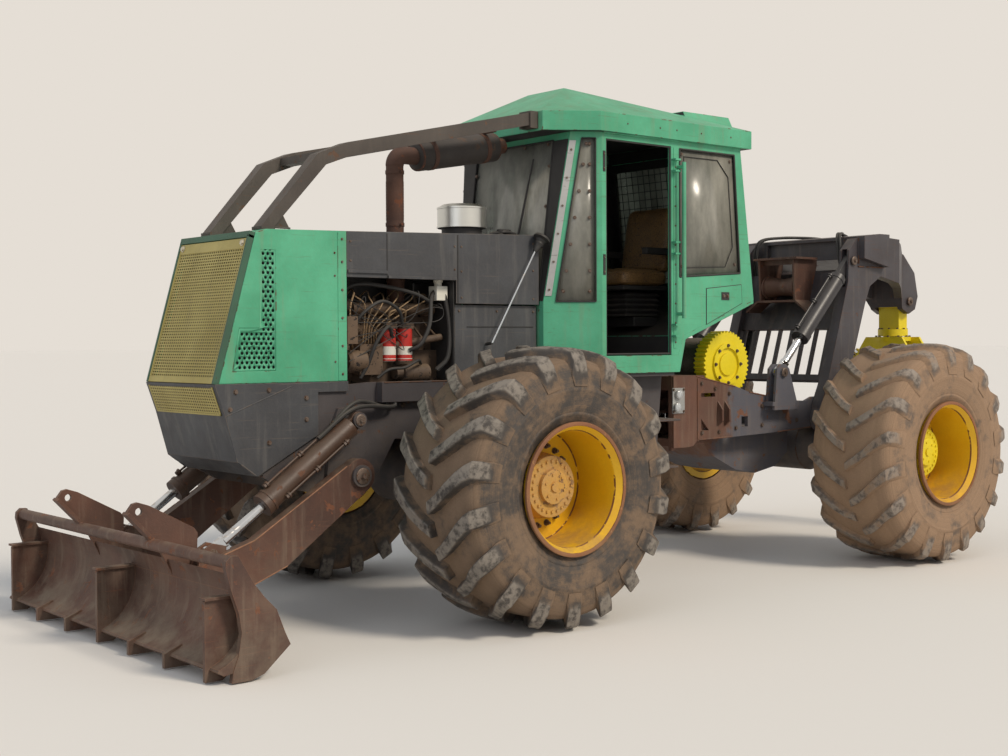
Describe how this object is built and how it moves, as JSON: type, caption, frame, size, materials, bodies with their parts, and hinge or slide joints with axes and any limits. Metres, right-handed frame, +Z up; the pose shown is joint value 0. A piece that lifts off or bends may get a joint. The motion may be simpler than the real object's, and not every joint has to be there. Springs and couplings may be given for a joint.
{
  "type": "grapple skidder",
  "caption": "Articulated four-wheel forestry skidder with a dozer blade, an open-sided engine bay, a cab and a rear arch with a grapple.",
  "frame": {"origin": "on the ground under the middle of the machine's length", "axes": "+X forward to the blade, +Y to the machine's left, +Z up"},
  "size_m": [7.4199, 3.002, 3.3],
  "materials": {
    "frame_paint": "satin",
    "green_paint": "satin",
    "grille_paint": "satin",
    "charcoal_paint": "satin",
    "engine_iron": "rough",
    "dull_aluminium": "satin",
    "rusty_steel": "rough",
    "hazy_pane": "rough",
    "seat_cloth": "matte",
    "black_plastic": "matte",
    "cylinder_paint": "satin",
    "chromed_rod": "polished",
    "yellow_paint": "satin",
    "arch_paint": "satin",
    "tyre_rubber": "matte"
  },
  "bodies": {
    "front_section": {"front_frame": "frame_paint", "front_axle": "frame_paint", "nose_plates": "frame_paint", "grille_shell": "green_paint", "side_vents": "green_paint", "grille": "grille_paint", "hood": "charcoal_paint", "engine": "engine_iron", "engine_dress": "engine_iron", "pre_cleaner": "dull_aluminium", "exhaust": "rusty_steel", "canopy_bars": "rusty_steel", "cab_floor": "green_paint", "cab_frame": "green_paint", "cab_roof": "green_paint", "cab_windows": "hazy_pane", "seat": "seat_cloth", "console": "black_plastic", "steps": "frame_paint", "grab_rail": "green_paint"},
    "rear_section": {"rear_frame": "rusty_steel", "rear_axle": "frame_paint", "winch": "yellow_paint"},
    "front_left_wheel": {"tyre_front_left": "tyre_rubber", "wheel_front_left": "yellow_paint"},
    "front_right_wheel": {"tyre_front_right": "tyre_rubber", "wheel_front_right": "yellow_paint"},
    "rear_left_wheel": {"tyre_rear_left": "tyre_rubber", "wheel_rear_left": "yellow_paint"},
    "rear_right_wheel": {"tyre_rear_right": "tyre_rubber", "wheel_rear_right": "yellow_paint"},
    "blade": {"blade_arms": "rusty_steel", "blade": "rusty_steel"},
    "blade_barrels": {"blade_barrels": "cylinder_paint"},
    "blade_rods": {"blade_rods": "chromed_rod"},
    "arch": {"arch": "arch_paint", "arch_screen": "arch_paint", "fairlead": "rusty_steel", "fairlead_roller": "rusty_steel"},
    "arch_barrels": {"arch_barrels": "cylinder_paint"},
    "arch_rods": {"arch_rods": "chromed_rod"},
    "steer_left_barrel": {"steer_barrel_left": "cylinder_paint"},
    "steer_right_barrel": {"steer_barrel_right": "cylinder_paint"},
    "steer_left_rod": {"steer_rod_left": "chromed_rod"},
    "steer_right_rod": {"steer_rod_right": "chromed_rod"},
    "grapple_link": {"grapple_link": "yellow_paint"},
    "grapple_head": {"grapple_head": "yellow_paint"},
    "tong_left": {"tong_left": "yellow_paint"},
    "tong_right": {"tong_right": "yellow_paint"},
    "grip_barrel": {"grip_barrel": "cylinder_paint"},
    "grip_rod": {"grip_rod": "chromed_rod"},
    "right_door": {"door": "green_paint"}
  },
  "joints": [
    {"name": "articulation", "type": "hinge", "parent": "front_section", "child": "rear_section", "pos_m": [-0.28, 0, 0.79459], "axis": [0, 0, 1], "range_deg": [-45, 45]},
    {"name": "front_left_wheel_spin", "type": "hinge", "parent": "front_section", "child": "front_left_wheel", "pos_m": [1.54, 1.15, 0.79459], "axis": [0, 1, 0], "continuous": true},
    {"name": "front_right_wheel_spin", "type": "hinge", "parent": "front_section", "child": "front_right_wheel", "pos_m": [1.54, -1.15, 0.79459], "axis": [0, 1, 0], "continuous": true},
    {"name": "rear_left_wheel_spin", "type": "hinge", "parent": "rear_section", "child": "rear_left_wheel", "pos_m": [-2.1, 1.15, 0.79459], "axis": [0, 1, 0], "continuous": true},
    {"name": "rear_right_wheel_spin", "type": "hinge", "parent": "rear_section", "child": "rear_right_wheel", "pos_m": [-2.1, -1.15, 0.79459], "axis": [0, 1, 0], "continuous": true},
    {"name": "blade_lift", "type": "hinge", "parent": "front_section", "child": "blade", "pos_m": [2.36, 0, 0.86], "axis": [0, -1, 0], "range_deg": [-6, 30]},
    {"name": "blade_cylinder_swing", "type": "hinge", "parent": "front_section", "child": "blade_barrels", "pos_m": [2.33, 0, 1.17], "axis": [0, -1, 0], "range_deg": [-5.25, 25.82]},
    {"name": "blade_cylinder_stroke", "type": "slide", "parent": "blade_barrels", "child": "blade_rods", "axis": [0.8134, 0, -0.5816], "range_m": [-0.13928, 0.02866]},
    {"name": "arch_tilt", "type": "hinge", "parent": "rear_section", "child": "arch", "pos_m": [-1.93, 0, 1.02], "axis": [0, -1, 0], "range_deg": [-8, 24]},
    {"name": "arch_cylinder_swing", "type": "hinge", "parent": "arch", "child": "arch_barrels", "pos_m": [-2.25, 0, 2.22], "axis": [0, -1, 0], "range_deg": [-3.5, 1.23]},
    {"name": "arch_cylinder_stroke", "type": "slide", "parent": "arch_barrels", "child": "arch_rods", "axis": [0.705, 0, -0.7092], "range_m": [-0.08415, 0.25044]},
    {"name": "steer_left_swing", "type": "hinge", "parent": "front_section", "child": "steer_left_barrel", "pos_m": [0.24, 0.215, 1.075], "axis": [0, 0, 1], "range_deg": [-12.59, 12.59]},
    {"name": "steer_left_stroke", "type": "slide", "parent": "steer_left_barrel", "child": "steer_left_rod", "axis": [-1, 0.0068, 0], "range_m": [-0.16586, 0.16586]},
    {"name": "steer_right_swing", "type": "hinge", "parent": "front_section", "child": "steer_right_barrel", "pos_m": [0.24, -0.215, 1.075], "axis": [0, 0, 1], "range_deg": [-12.59, 12.59]},
    {"name": "steer_right_stroke", "type": "slide", "parent": "steer_right_barrel", "child": "steer_right_rod", "axis": [-1, -0.0068, 0], "range_m": [-0.16586, 0.16586]},
    {"name": "grapple_swing", "type": "hinge", "parent": "arch", "child": "grapple_link", "pos_m": [-3.56, 0, 1.935], "axis": [0, 1, 0], "range_deg": [-20, 20]},
    {"name": "grapple_turn", "type": "hinge", "parent": "grapple_link", "child": "grapple_head", "pos_m": [-3.56, 0, 1.64], "axis": [0, 0, 1], "continuous": true},
    {"name": "tongs_open", "type": "hinge", "parent": "grapple_head", "child": "tong_left", "pos_m": [-3.56, 0.3, 1.33], "axis": [1, 0, 0], "range_deg": [0, 45]},
    {"name": "tong_right_open", "type": "hinge", "parent": "grapple_head", "child": "tong_right", "pos_m": [-3.56, -0.3, 1.33], "axis": [-1, 0, 0], "range_deg": [0, 45]},
    {"name": "grip_cylinder_swing", "type": "hinge", "parent": "tong_left", "child": "grip_barrel", "pos_m": [-3.56, 0.42, 1.49], "axis": [-1, 0, 0], "range_deg": [0, 45]},
    {"name": "grip_cylinder_stroke", "type": "slide", "parent": "grip_barrel", "child": "grip_rod", "axis": [0, -1, 0], "range_m": [-0.29068, 0]},
    {"name": "door_swing", "type": "hinge", "parent": "front_section", "child": "right_door", "pos_m": [-0.112, -0.686, 2.2], "axis": [0, 0, -1], "range_deg": [0, 90]}
  ],
  "couplings": [
    {"joint": "blade_cylinder_swing", "follows": "blade_lift", "ratio": 0.8575},
    {"joint": "blade_cylinder_stroke", "follows": "blade_lift", "m_per_rad": -0.2641},
    {"joint": "arch_cylinder_swing", "follows": "arch_tilt", "ratio": -0.1415},
    {"joint": "arch_cylinder_stroke", "follows": "arch_tilt", "m_per_rad": 0.5955},
    {"joint": "steer_left_swing", "follows": "articulation", "ratio": 0.2775},
    {"joint": "steer_left_stroke", "follows": "articulation", "m_per_rad": 0.2099},
    {"joint": "steer_right_swing", "follows": "articulation", "ratio": 0.2775},
    {"joint": "steer_right_stroke", "follows": "articulation", "m_per_rad": -0.2099},
    {"joint": "tong_right_open", "follows": "tongs_open", "ratio": 1},
    {"joint": "grip_cylinder_swing", "follows": "tongs_open", "ratio": 1},
    {"joint": "grip_cylinder_stroke", "follows": "tongs_open", "m_per_rad": -0.3701}
  ]
}
